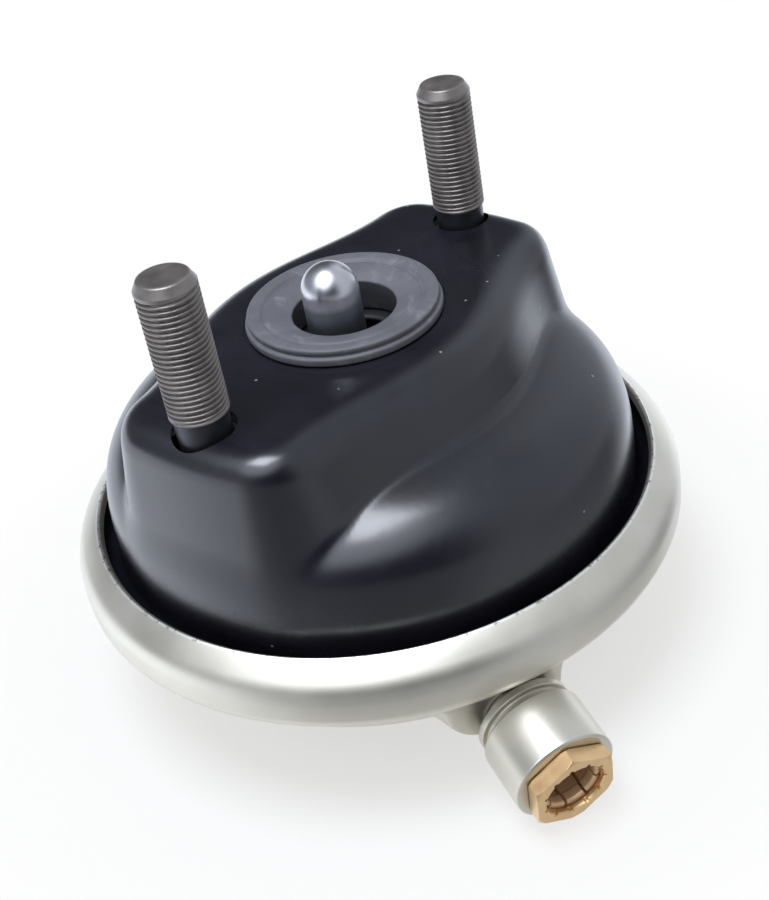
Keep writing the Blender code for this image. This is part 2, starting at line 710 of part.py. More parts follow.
def build():
    start_scene()
    black_paint = make_material("black_paint", (0.012, 0.012, 0.014), 0.38, 0.0)
    silver_paint = make_material("silver_paint", (0.62, 0.62, 0.60), 0.36, 0.7)
    dark_steel = make_material("phosphated_steel", (0.09, 0.09, 0.09), 0.5, 0.7)
    bright_steel = make_material("bright_steel", (0.55, 0.55, 0.55), 0.25, 1.0)
    plain_steel = make_material("plain_steel", (0.35, 0.35, 0.34), 0.4, 1.0)
    spring_steel = make_material("spring_steel", (0.10, 0.10, 0.11), 0.45, 0.8)
    grey_rubber = make_material("grey_rubber", (0.09, 0.10, 0.11), 0.6, 0.0)
    black_rubber = make_material("black_rubber", (0.02, 0.02, 0.02), 0.7, 0.0)
    brass = make_material("brass", (0.62, 0.42, 0.20), 0.3, 1.0)
    dark_brass = make_material("dark_brass", (0.45, 0.28, 0.13), 0.35, 1.0)
    white_plastic = make_material("white_plastic", (0.7, 0.7, 0.68), 0.5, 0.0)
    black_plastic = make_material("black_plastic", (0.02, 0.02, 0.02), 0.5, 0.0)

    port_axis = add_empty("port_axis", *port_placement())
    build_housing(black_paint)
    build_cover(silver_paint, port_axis)
    build_diaphragm(black_rubber)
    build_rod_group(bright_steel, plain_steel, plain_steel)
    plate_bottom = build_stud_plate(plain_steel)
    build_studs(dark_steel, plate_bottom)
    seat_z = build_rod_opening(grey_rubber, black_rubber, plain_steel, plate_bottom)
    build_spring(spring_steel, seat_z)
    build_port(port_axis, silver_paint, brass, dark_brass, black_rubber, white_plastic)
    build_breather(black_plastic)


build()
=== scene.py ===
# Diaphragm brake cylinder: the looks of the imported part, in metres and in the part's own frame.
# The pieces' dictionaries hold millimetres and degrees; materials, view and studio hold metres.
import math
import bmesh
import bpy
import numpy as np
from mathutils import Matrix, Vector


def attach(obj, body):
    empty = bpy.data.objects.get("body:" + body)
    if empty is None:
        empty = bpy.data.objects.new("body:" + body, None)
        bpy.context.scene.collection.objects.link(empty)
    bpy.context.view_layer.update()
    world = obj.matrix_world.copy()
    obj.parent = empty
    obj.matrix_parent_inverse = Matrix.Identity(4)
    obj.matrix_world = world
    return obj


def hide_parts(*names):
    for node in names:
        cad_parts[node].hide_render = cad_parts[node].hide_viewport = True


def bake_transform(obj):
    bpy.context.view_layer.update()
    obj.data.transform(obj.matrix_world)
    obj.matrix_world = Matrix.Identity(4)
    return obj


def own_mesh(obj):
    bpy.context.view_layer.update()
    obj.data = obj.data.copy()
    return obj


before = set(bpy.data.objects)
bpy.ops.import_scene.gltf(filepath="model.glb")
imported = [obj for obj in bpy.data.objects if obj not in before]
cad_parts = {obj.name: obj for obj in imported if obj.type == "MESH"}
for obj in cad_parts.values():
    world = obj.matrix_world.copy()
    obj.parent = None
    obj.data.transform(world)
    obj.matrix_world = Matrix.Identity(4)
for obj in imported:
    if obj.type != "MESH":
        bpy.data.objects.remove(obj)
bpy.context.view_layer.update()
print("frame loaded:", len(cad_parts), "nodes")

scene = bpy.context.scene
scene.view_settings.view_transform = "Standard"


# Mesh helpers

def mm(value):
    return np.asarray(value, float) * 0.001


towardsBack = ((1, 0, 0), (0, 0, -1), (0, 1, 0))  # rows that turn a profile's axis from +Z to +Y


def gridMesh(name, points, aroundClosed=True, alongClosed=False, sharpAngle=32.0):
    # points is (rows, columns, 3) in mm; neighbouring rows and columns become quads, then poles are welded
    rows, columns = points.shape[:2]
    index = np.arange(rows * columns).reshape(rows, columns)
    if alongClosed:
        index = np.vstack([index, index[:1]])
    if aroundClosed:
        index = np.hstack([index, index[:, :1]])
    quads = np.stack([index[:-1, :-1], index[:-1, 1:], index[1:, 1:], index[1:, :-1]], axis=-1)
    quads = quads.reshape(-1, 4)
    mesh = bpy.data.meshes.new(name)
    mesh.vertices.add(rows * columns)
    mesh.vertices.foreach_set("co", mm(points).ravel())
    mesh.loops.add(quads.size)
    mesh.loops.foreach_set("vertex_index", quads.ravel())
    mesh.polygons.add(len(quads))
    mesh.polygons.foreach_set("loop_start", np.arange(0, quads.size, 4))
    mesh.update(calc_edges=True)
    piece = bpy.data.objects.new(name, mesh)
    scene.collection.objects.link(piece)
    weldAndShade(piece, sharpAngle)
    return piece


def weldAndShade(piece, sharpAngle=32.0):
    # merges doubled points, points the faces outwards and keeps only real edges sharp
    shape = bmesh.new()
    shape.from_mesh(piece.data)
    bmesh.ops.remove_doubles(shape, verts=shape.verts, dist=0.000004)
    bmesh.ops.dissolve_degenerate(shape, edges=shape.edges, dist=0.000002)
    bmesh.ops.recalc_face_normals(shape, faces=shape.faces)
    shape.to_mesh(piece.data)
    shape.free()
    piece.data.shade_smooth()
    piece.data.set_sharp_from_angle(angle=math.radians(sharpAngle))


def softProfile(corners, cut=0.4, steps=5, closed=False):
    # a polyline whose corners are replaced by short parabolas that start and end "cut" mm from each corner,
    # or just short of halfway along its shorter side
    corner = np.array(corners, float)
    back = np.roll(corner, 1, axis=0) - corner
    ahead = np.roll(corner, -1, axis=0) - corner
    backLength = np.linalg.norm(back, axis=1)[:, None]
    aheadLength = np.linalg.norm(ahead, axis=1)[:, None]
    reach = np.minimum(np.broadcast_to(np.asarray(cut, float).reshape(-1, 1), backLength.shape),
                       0.48 * np.minimum(backLength, aheadLength))
    if not closed:
        reach = reach.copy()
        reach[[0, -1]] = 0
    start = corner + back / backLength * reach
    end = corner + ahead / aheadLength * reach
    t = np.linspace(0, 1, steps)[None, :, None]
    curve = (1 - t) ** 2 * start[:, None] + 2 * t * (1 - t) * corner[:, None] + t ** 2 * end[:, None]
    curve = curve.reshape(-1, 2)
    return curve if closed else curve[steps - 1:len(curve) - steps + 1]


def turnedSurface(profile, columns=160, centre=(0, 0, 0), axes=None, angles=None):
    # each profile point (radius, height) carried round the axis; rows are points and columns are angles
    if angles is None:
        angles = np.linspace(0, 2 * math.pi, columns, endpoint=False)
    profile = np.asarray(profile, float)
    local = np.stack([
        profile[:, :1] * np.cos(angles)[None],
        profile[:, :1] * np.sin(angles)[None],
        np.repeat(profile[:, 1:2], len(angles), axis=1),
    ], axis=-1)
    if axes is not None:
        local = local @ np.asarray(axes, float)
    return local + np.asarray(centre, float)


def turnedPiece(name, profile, columns=160, closed=False, centre=(0, 0, 0), axes=None):
    return gridMesh(name, turnedSurface(profile, columns, centre, axes), alongClosed=closed)


def cutWith(piece, cutter):
    # exact Boolean cut, applied at once; the cutter is removed again
    cut = piece.modifiers.new("cut", "BOOLEAN")
    cut.operation = "DIFFERENCE"
    cut.solver = "EXACT"
    cut.object = cutter
    bpy.context.view_layer.update()
    graph = bpy.context.evaluated_depsgraph_get()
    mesh = bpy.data.meshes.new_from_object(piece.evaluated_get(graph))
    piece.modifiers.clear()
    piece.data = mesh
    bpy.data.objects.remove(cutter, do_unlink=True)


def place(piece, body, slot, material, *nodes):
    # hangs the piece on its body, gives it its finish and hides the CAD nodes it stands for
    piece.data.materials.clear()
    piece.data.materials.append(material)
    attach(piece, body)
    if nodes:
        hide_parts(*nodes)


# Materials

def colour(code):
    # sRGB hex code to linear
    value = np.array([int(code[i:i + 2], 16) for i in (1, 3, 5)]) / 255
    linear = np.where(value <= 0.04045, value / 12.92, ((value + 0.055) / 1.055) ** 2.4)
    return (*linear, 1.0)


def addNode(tree, kind, inputs=None, **settings):
    # adds one node, sets its settings, and sets or links each named input; a noise or cell scale is in
    # features per metre, so 1000 / scale is the size of the pattern in mm
    node = tree.nodes.new(kind)
    for key, value in settings.items():
        setattr(node, key, value)
    for key, value in (inputs or {}).items():
        if isinstance(value, bpy.types.NodeSocket):
            tree.links.new(value, node.inputs[key])
        else:
            node.inputs[key].default_value = value
    return node


def newMaterial(name, **shaderInputs):
    material = bpy.data.materials.new(name)
    material.use_nodes = True
    tree = material.node_tree
    shader = tree.nodes["Principled BSDF"]
    for key, value in shaderInputs.items():
        shader.inputs[key].default_value = value
    spot = addNode(tree, "ShaderNodeTexCoord").outputs["Object"]
    return material, tree, shader, spot


def rampOf(tree, factor, stops):
    # stops are (place, hex colour or grey value)
    ramp = addNode(tree, "ShaderNodeValToRGB", {"Fac": factor})
    elements = ramp.color_ramp.elements
    elements[0].position, elements[1].position = stops[0][0], stops[-1][0]
    for position, _ in stops[1:-1]:
        elements.new(position)
    for element, (_, value) in zip(elements, stops):
        element.color = colour(value) if isinstance(value, str) else (value, value, value, 1)
    return ramp.outputs["Color"]


def bumpOf(tree, shader, height, distance, strength=1.0):
    bump = addNode(tree, "ShaderNodeBump",
                   {"Height": height, "Strength": strength, "Distance": distance * 0.001})
    tree.links.new(bump.outputs["Normal"], shader.inputs["Normal"])


# Stoved black enamel, sprayed on drawn steel: a soft wide sheen, faint orange peel and settled dust
def makeBlackEnamel():
    # clouds of 26 mm, orange peel of 2.4 mm, and a few specks of dust up to 0.8 mm across
    material, tree, shader, spot = newMaterial("stoved black enamel", **{"Specular IOR Level": 0.75})
    cloud = addNode(tree, "ShaderNodeTexNoise",
                    {"Vector": spot, "Scale": 38.0, "Detail": 5.0, "Roughness": 0.62})
    tone = rampOf(tree, cloud.outputs["Fac"], [(0.35, "#13131a"), (0.68, "#1c1c27")])
    dust = addNode(tree, "ShaderNodeTexVoronoi", {"Vector": spot, "Scale": 160.0, "Randomness": 1.0})
    dustChance = addNode(tree, "ShaderNodeSeparateColor", {"Color": dust.outputs["Color"]})
    small = addNode(tree, "ShaderNodeMath", {0: dust.outputs["Distance"], 1: 0.062}, operation="LESS_THAN")
    rare = addNode(tree, "ShaderNodeMath", {0: dustChance.outputs["Red"], 1: 0.70},
                   operation="GREATER_THAN")
    speck = addNode(tree, "ShaderNodeMath", {0: small.outputs[0], 1: rare.outputs[0]}, operation="MULTIPLY")
    dusty = addNode(tree, "ShaderNodeMix", {"Factor": speck.outputs[0], "A": tone, "B": colour("#8c8c92")},
                    data_type="RGBA")
    tree.links.new(dusty.outputs["Result"], shader.inputs["Base Color"])
    gloss = rampOf(tree, cloud.outputs["Fac"], [(0.3, 0.23), (0.7, 0.29)])
    tree.links.new(gloss, shader.inputs["Roughness"])
    peel = addNode(tree, "ShaderNodeTexNoise", {"Vector": spot, "Scale": 420.0, "Detail": 2.0})
    bumpOf(tree, shader, peel.outputs["Fac"], 0.05, 0.35)
    return material


# Silver stoving lacquer: fine metal flake in a satin coat
def makeSilverLacquer():
    # clouds of 17 mm; the flake is drawn at 1.1 mm, coarser than the real one, so that it shows
    material, tree, shader, spot = newMaterial("silver flake lacquer", Metallic=0.85)
    cloud = addNode(tree, "ShaderNodeTexNoise", {"Vector": spot, "Scale": 60.0, "Detail": 4.0})
    tone = rampOf(tree, cloud.outputs["Fac"], [(0.3, "#cecabd"), (0.7, "#d8d4c8")])
    # painted highlight: the lip's top edge is coloured near white over its last half millimetre, with dark
    # nicks of 1.8 mm
    height = addNode(tree, "ShaderNodeSeparateXYZ", {"Vector": spot}).outputs["Z"]
    edge = addNode(tree, "ShaderNodeMapRange",
                   {"Value": height, "From Min": -0.0527, "From Max": -0.0525, "To Max": 0.6}).outputs[0]
    chips = addNode(tree, "ShaderNodeTexNoise",
                    {"Vector": spot, "Scale": 560.0, "Detail": 3.0, "Roughness": 0.7})
    nick = addNode(tree, "ShaderNodeMapRange",
                   {"Value": chips.outputs["Fac"], "From Min": 0.57, "From Max": 0.61}).outputs[0]
    nick = addNode(tree, "ShaderNodeMath", {0: nick, 1: edge}, operation="MULTIPLY").outputs[0]
    # painted highlight: near white along the lip's top edge
    edgePaintedHighlight = addNode(tree, "ShaderNodeMix", {"Factor": edge, "A": tone, "B": colour("#f4f3ef")},
                     data_type="RGBA").outputs["Result"]
    nicked = addNode(tree, "ShaderNodeMix", {"Factor": nick, "A": edgePaintedHighlight, "B": colour("#55544d")},
                     data_type="RGBA")
    tree.links.new(nicked.outputs["Result"], shader.inputs["Base Color"])
    gloss = rampOf(tree, cloud.outputs["Fac"], [(0.3, 0.35), (0.7, 0.41)])
    tree.links.new(gloss, shader.inputs["Roughness"])
    flake = addNode(tree, "ShaderNodeTexNoise", {"Vector": spot, "Scale": 900.0, "Detail": 2.0})
    bumpOf(tree, shader, flake.outputs["Fac"], 0.03, 0.35)
    return material


# Phosphated steel: dull brown-grey on the rolled thread; the plain collar below is coloured darker and
# bluer as painted shade
def makePhosphatedSteel():
    # stains of 5.6 mm, which also roughen the surface
    material, tree, shader, spot = newMaterial("phosphated steel", Metallic=0.7)
    cloud = addNode(tree, "ShaderNodeTexNoise", {"Vector": spot, "Scale": 180.0, "Detail": 5.0})
    tone = rampOf(tree, cloud.outputs["Fac"], [(0.3, "#797370"), (0.7, "#8f8985")])
    # painted shade: the plain collar below the thread is coloured dark and bluish, standing in for the
    # shade it lies in
    shankPaintedShade = rampOf(tree, cloud.outputs["Fac"], [(0.3, "#3a3b41"), (0.7, "#46474d")])
    height = addNode(tree, "ShaderNodeSeparateXYZ", {"Vector": spot}).outputs["Z"]
    threaded = addNode(tree, "ShaderNodeMapRange",
                       {"Value": height, "From Min": 0.0047, "From Max": 0.0056}).outputs[0]
    both = addNode(tree, "ShaderNodeMix", {"Factor": threaded, "A": shankPaintedShade, "B": tone}, data_type="RGBA")
    tree.links.new(both.outputs["Result"], shader.inputs["Base Color"])
    gloss = rampOf(tree, cloud.outputs["Fac"], [(0.3, 0.34), (0.7, 0.46)])
    tree.links.new(gloss, shader.inputs["Roughness"])
    bumpOf(tree, shader, cloud.outputs["Fac"], 0.04, 0.3)
    return material


# Turned steel rod: polished round tip, dull grey shank below
def makeRodSteel():
    # stains of 4.5 mm; the polish ends 6 to 8 mm above the mounting face
    material, tree, shader, spot = newMaterial("turned and polished steel", Metallic=1.0)
    height = addNode(tree, "ShaderNodeSeparateXYZ", {"Vector": spot}).outputs["Z"]
    up = addNode(tree, "ShaderNodeMapRange", {"Value": height, "From Min": 0.0062, "From Max": 0.0080})
    cloud = addNode(tree, "ShaderNodeTexNoise", {"Vector": spot, "Scale": 220.0, "Detail": 4.0})
    bright = rampOf(tree, cloud.outputs["Fac"], [(0.3, "#c2c3c8"), (0.7, "#cfd0d4")])
    dull = rampOf(tree, cloud.outputs["Fac"], [(0.3, "#7d8188"), (0.7, "#8f939a")])
    tone = addNode(tree, "ShaderNodeMix", {"Factor": up.outputs[0], "A": dull, "B": bright},
                   data_type="RGBA")
    tree.links.new(tone.outputs["Result"], shader.inputs["Base Color"])
    gloss = addNode(tree, "ShaderNodeMapRange", {"Value": up.outputs[0], "To Min": 0.50, "To Max": 0.30})
    tree.links.new(gloss.outputs[0], shader.inputs["Roughness"])
    bumpOf(tree, shader, cloud.outputs["Fac"], 0.02, 0.3)
    return material


# Moulded nitrile rubber, grey with bloom: matt, slightly mottled
def makeGreyRubber():
    # mottling of 11 mm, and paler smears of 7 mm
    material, tree, shader, spot = newMaterial("moulded grey nitrile rubber", Roughness=0.55)
    cloud = addNode(tree, "ShaderNodeTexNoise", {"Vector": spot, "Scale": 90.0, "Detail": 5.0})
    tone = rampOf(tree, cloud.outputs["Fac"], [(0.3, "#606167"), (0.7, "#6f7077")])
    smear = addNode(tree, "ShaderNodeTexNoise",
                    {"Vector": spot, "Scale": 140.0, "Detail": 6.0, "Roughness": 0.7, "Distortion": 0.6})
    worn = addNode(tree, "ShaderNodeMapRange",
                   {"Value": smear.outputs["Fac"], "From Min": 0.55, "From Max": 0.72,
                    "To Max": 0.7}).outputs[0]
    both = addNode(tree, "ShaderNodeMix", {"Factor": worn, "A": tone, "B": colour("#8f9096")},
                   data_type="RGBA")
    tree.links.new(both.outputs["Result"], shader.inputs["Base Color"])
    bumpOf(tree, shader, cloud.outputs["Fac"], 0.08, 0.4)
    return material


# Machined brass: warm and satin, slightly mottled
def makeBrass(name, low, high, roughness, metallic):
    # mottling of 6 mm in tone and gloss
    material, tree, shader, spot = newMaterial(name, Metallic=metallic)
    cloud = addNode(tree, "ShaderNodeTexNoise", {"Vector": spot, "Scale": 160.0, "Detail": 4.0})
    tone = rampOf(tree, cloud.outputs["Fac"], [(0.3, low), (0.7, high)])
    tree.links.new(tone, shader.inputs["Base Color"])
    gloss = rampOf(tree, cloud.outputs["Fac"], [(0.3, roughness - 0.04), (0.7, roughness + 0.05)])
    tree.links.new(gloss, shader.inputs["Roughness"])
    bumpOf(tree, shader, cloud.outputs["Fac"], 0.02, 0.3)
    return material


# Plain finishes of hidden and small pieces
def makePlain(name, low, high, roughness, metallic, grain):
    material, tree, shader, spot = newMaterial(name, Metallic=metallic, Roughness=roughness)
    cloud = addNode(tree, "ShaderNodeTexNoise", {"Vector": spot, "Scale": grain, "Detail": 4.0})
    tone = rampOf(tree, cloud.outputs["Fac"], [(0.3, low), (0.7, high)])
    tree.links.new(tone, shader.inputs["Base Color"])
    bumpOf(tree, shader, cloud.outputs["Fac"], 0.03, 0.3)
    return material


blackEnamel = makeBlackEnamel()
silverLacquer = makeSilverLacquer()
phosphatedSteel = makePhosphatedSteel()
rodSteel = makeRodSteel()
greyRubber = makeGreyRubber()
brightBrass = makeBrass("machined brass", "#deb683", "#ebc997", 0.32, 0.75)
dullBrass = makeBrass("dull machined brass", "#e6bf94", "#f2d0a8", 0.40, 0.35)
pressedSteel = makePlain("oiled pressed steel", "#7d7e80", "#8b8c8e", 0.38, 1.0, 140.0)
springSteel = makePlain("oil hardened spring wire", "#3c3c3f", "#4a4a4d", 0.40, 0.9, 200.0)
blackRubber = makePlain("moulded black rubber", "#1b1b1c", "#242425", 0.62, 0.0, 90.0)
whiteAcetal = makePlain("white acetal", "#d8d7cf", "#e2e1da", 0.45, 0.0, 120.0)
blackNylon = makePlain("black glass filled nylon", "#1c1c1e", "#27272a", 0.5, 0.0, 300.0)
print("materials made")


# Drawn housing

housing = {
    "sheet": 3.0, "rodHole": 23.0, "bowlRadius": 78.5, "bowlTop": -54.0, "domeRise": 37.5, "domePower": 3.6,
    "discRadius": 39.2, "barLength": 71.0, "barWidth": 30.0, "barCorner": 12.0, "barBulge": 120.0,
    "outlineBlend": 30.0, "edgeBlend": 8.5, "wallBlend": 3.0,
    "runSide": 0.42, "runCorner": 0.25, "runEnd": 0.14, "valleySide": 2.4, "valleyEnd": 2.0,
    "flangeRadius": 88.0, "flangeTop": -62.0, "flangeBend": 4.0,
    "studPitch": 120.65, "studHole": 8.7, "ringSeatRadius": 29.1, "ringSeatDepth": 0.4,
    "breatherZ": -46.0, "breatherHole": 4.6, "breatherCut": (60.0, 90.0), "studCut": 15.0,
    "flangeRound": 0.5, "endReach": 55.0, "endFlank": 0.01, "domeScale": 0.7,
    # rays start on the axis at rayZ, and trialRows of them find where the surface turns
    "rayZ": -45.0, "rayReach": 140.0, "halvings": 34, "trialRows": 700, "columns": 300, "rows": 135,
}


def smoothMax(a, b, blend):
    # the larger of two distances, rounded over where they differ by less than the blend
    near = np.clip(blend - np.abs(a - b), 0, None) / blend
    return np.maximum(a, b) + near * near * blend / 4


def smoothMin(a, b, blend):
    return -smoothMax(-a, -b, blend)


def bossOutline(x, y, h=housing):
    # distance outside the mounting boss: a disc flowing into a bar with round corners and bulged ends
    along = np.abs(x) + y * y / (2 * h["barBulge"]) - (h["barLength"] - h["barCorner"])
    across = np.abs(y) - (h["barWidth"] - h["barCorner"])
    outside = np.hypot(np.maximum(along, 0), np.maximum(across, 0))
    bar = outside + np.minimum(np.maximum(along, across), 0) - h["barCorner"]
    return smoothMin(np.hypot(x, y) - h["discRadius"], bar, h["outlineBlend"])


def housingField(x, y, z, h=housing):
    # negative inside: the boss's flanks lean out as they go down and meet the flattened dome in a valley
    endness = np.clip(np.abs(x) / h["endReach"], 0, 1)
    endness = endness * endness * (3 - 2 * endness)
    along = np.clip(np.abs(x) + y * y / (2 * h["barBulge"]) - h["barLength"] + h["barCorner"], 0, None)
    across = np.clip(np.abs(y) - h["barWidth"] + h["barCorner"], h["endFlank"], None)
    facing = along ** 2 / (along ** 2 + across ** 2)
    run = h["runSide"] + (h["runCorner"] - h["runSide"]) * endness
    run = run + (h["runEnd"] - run) * facing
    flank = (bossOutline(x, y) + z * run) / np.sqrt(1 + run * run)
    radius = np.hypot(x, y)
    boss = smoothMax(smoothMax(z, flank, h["edgeBlend"]), radius - h["bowlRadius"], h["wallBlend"])
    rise = np.clip(z - h["bowlTop"], 0, None) / h["domeRise"]
    dome = ((radius / h["bowlRadius"]) ** h["domePower"] + rise ** h["domePower"]) ** (1 / h["domePower"])
    dome = (dome - 1) * h["bowlRadius"] * h["domeScale"]
    return smoothMin(boss, dome, h["valleySide"] + (h["valleyEnd"] - h["valleySide"]) * endness)


def housingPoints(bearing, elevation, h=housing):
    # radius and height at which rays from a point inside the bowl leave the housing, found by halving
    out, up = np.cos(elevation), np.sin(elevation)
    near = np.zeros(np.broadcast(bearing, elevation).shape)
    far = near + h["rayReach"]
    for _ in range(h["halvings"]):
        middle = (near + far) / 2
        x, y = middle * out * np.cos(bearing), middle * out * np.sin(bearing)
        inside = housingField(x, y, middle * up + h["rayZ"]) < 0
        near = np.where(inside, middle, near)
        far = np.where(inside, far, middle)
    return near * out, near * up + h["rayZ"]


def buildHousing(h=housing):
    # rows from the rod's hole to the bowl's edge, closer where the surface turns, then the flange;
    # the inner wall is the outer one moved in by the sheet along its normals
    bearing = np.linspace(0, 2 * math.pi, h["columns"], endpoint=False)
    highest = math.atan2(-h["rayZ"], h["rodHole"])
    lowest = math.atan2(h["bowlTop"] - h["rayZ"], h["bowlRadius"])
    elevation = np.linspace(highest, lowest, h["trialRows"])
    radius, height = housingPoints(bearing[:, None], elevation[None])
    step = np.hypot(np.diff(radius, axis=1), np.diff(height, axis=1))
    heading = np.unwrap(np.arctan2(np.diff(height, axis=1), np.diff(radius, axis=1)), axis=1)
    turn = np.abs(np.diff(heading, axis=1, prepend=heading[:, :1]))
    share = step / step.sum(axis=1, keepdims=True) + turn / turn.sum(axis=1, keepdims=True)
    share = share.mean(axis=0)  # the same rows for every column keep the quads regular
    measure = np.concatenate([[0], np.cumsum(share)])
    rows = np.interp(np.linspace(0, measure[-1], h["rows"]), measure, elevation)
    radius, height = housingPoints(bearing[None], rows[:, None])
    bend = np.radians(np.linspace(180, 270, 9))
    edge = h["flangeRound"]
    skirtR = h["bowlRadius"] + h["flangeBend"] * (1 + np.cos(bend))
    skirtR = np.append(skirtR, [h["flangeRadius"] - edge, h["flangeRadius"]])
    skirtZ = h["flangeTop"] + h["flangeBend"] * (1 + np.sin(bend))
    skirtZ = np.append(skirtZ, [h["flangeTop"], h["flangeTop"] - edge])
    radius = np.vstack([radius, np.repeat(skirtR[:, None], h["columns"], axis=1)])
    height = np.vstack([height, np.repeat(skirtZ[:, None], h["columns"], axis=1)])
    outer = np.stack([radius * np.cos(bearing), radius * np.sin(bearing), height], axis=-1)
    alongRows = np.gradient(outer, axis=0)
    aroundRows = np.roll(outer, -1, axis=1) - np.roll(outer, 1, axis=1)
    normal = np.cross(aroundRows, alongRows)
    normal /= np.linalg.norm(normal, axis=-1, keepdims=True)
    normal *= np.sign((normal * outer).sum(axis=-1).mean())
    normal[0] = (0, 0, 1)
    normal[-2:] = (0, 0, 1)
    inner = outer - normal * h["sheet"]
    inner[-1] += (0, 0, edge)
    shell = gridMesh("housingShell", np.vstack([outer, inner[::-1]]), alongClosed=True)
    reach = h["studCut"]
    hole = [(0, reach), (h["studHole"], reach), (h["studHole"], -reach), (0, -reach)]
    for side in (-1, 1):
        cutWith(shell, turnedPiece("studHoleCutter", hole, 72, centre=(side * h["studPitch"] / 2, 0, 0)))
    seat = [(0, 3), (h["ringSeatRadius"], 3), (h["ringSeatRadius"], -h["ringSeatDepth"]),
            (0, -h["ringSeatDepth"])]
    cutWith(shell, turnedPiece("ringSeatCutter", seat, 144))
    near, far = h["breatherCut"]
    hole = [(0, near), (h["breatherHole"], near), (h["breatherHole"], far), (0, far)]
    cutWith(shell, turnedPiece("breatherCutter", hole, 40, centre=(0, 0, h["breatherZ"]), axes=towardsBack))
    weldAndShade(shell, 35)
    place(shell, "chamber", "black_paint", blackEnamel, "housing")


buildHousing()
print("housing made")


# Port frame: its axis leaves the cover's side, tilted down

port = {"bearing": -119.0, "tilt": 9.5, "referenceRadius": 80.0, "referenceZ": -89.6}
portBearing, portTilt = math.radians(port["bearing"]), math.radians(port["tilt"])
portCentre = np.array([port["referenceRadius"] * math.cos(portBearing),
                       port["referenceRadius"] * math.sin(portBearing), port["referenceZ"]])
portOut = np.array([math.cos(portBearing) * math.cos(portTilt),
                    math.sin(portBearing) * math.cos(portTilt), -math.sin(portTilt)])
portSide = np.array([-math.sin(portBearing), math.cos(portBearing), 0.0])
portUp = np.cross(portOut, portSide)
portAxes = np.array([portSide, portUp, portOut])  # rows: local x, y and z of the port


# Rolled cover

cover = {
    "sheet": 2.6, "rimRadius": 91.5, "rimZ": -64.6, "rimBend": 6.0,
    "beadDrop": 2.0, "beadAngles": (-4, -80), "lipBulge": 0.7,
    # each bend of the lip: its centre, its radius, and its first and last angle
    "lip": [((65.65, -79.40), 32.8, 56, 46), ((82.49, -62.57), 9.0, 45, 0)],
    "dish": [(85.4, -74.4), (83.4, -77.2), (78.0, -84.0), (71.5, -90.3), (62.0, -97.0), (52.0, -101.2),
             (44.0, -102.0), (0.0, -102.0)],
    "padLeft": -23.3, "padRight": 17.3, "padBottom": -9.8, "padTop": 13.5,
    "padLowLeft": 19.0, "padLowRight": 12.0, "padFront": -0.8, "padWall": 3.2, "padReach": -45.0,
    "boreRadius": 10.0, "boreDepth": -1.3, "dishSoften": 30.0,
    # rows are closer outside the radius fineTo, and columns within padSpread degrees of the port
    "fineTo": 48.0, "fineRows": 76, "coarseRows": 14, "columns": 300, "padColumns": 3.2, "padSpread": 20.0,
}


def offsetLine(points, distance):
    # every point moved sideways off a polyline of radius and height
    run = np.gradient(points, axis=0)
    run /= np.linalg.norm(run, axis=1)[:, None]
    moved = points + np.column_stack([run[:, 1], -run[:, 0]]) * distance
    moved[:, 0] = np.maximum(moved[:, 0], 0)
    return moved


